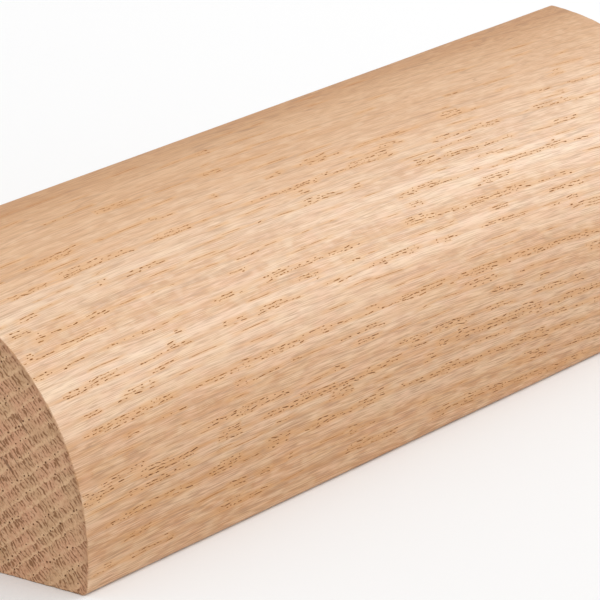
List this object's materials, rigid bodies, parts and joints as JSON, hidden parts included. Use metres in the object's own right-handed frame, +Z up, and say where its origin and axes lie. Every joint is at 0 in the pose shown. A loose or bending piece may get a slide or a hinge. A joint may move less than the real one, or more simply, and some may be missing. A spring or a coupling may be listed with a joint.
{
  "type": "quarter round moulding",
  "caption": "Short straight length of solid oak trim with a quarter-circle section and two flat faces, which covers the joint between a floor and a wall.",
  "frame": {"origin": "on the floor face, halfway along the length and halfway between the toe and the wall face", "axes": "+X along the length and the grain, away from the pictured end; +Y out of the wall face; +Z up from the floor face, so the round face looks towards -Y and +Z"},
  "size_m": [0.1016, 0.019, 0.019],
  "materials": {
    "oak": "sanded, unfinished red oak with open pores"
  },
  "bodies": {
    "root": {"quarter_round": "oak"}
  },
  "joints": []
}
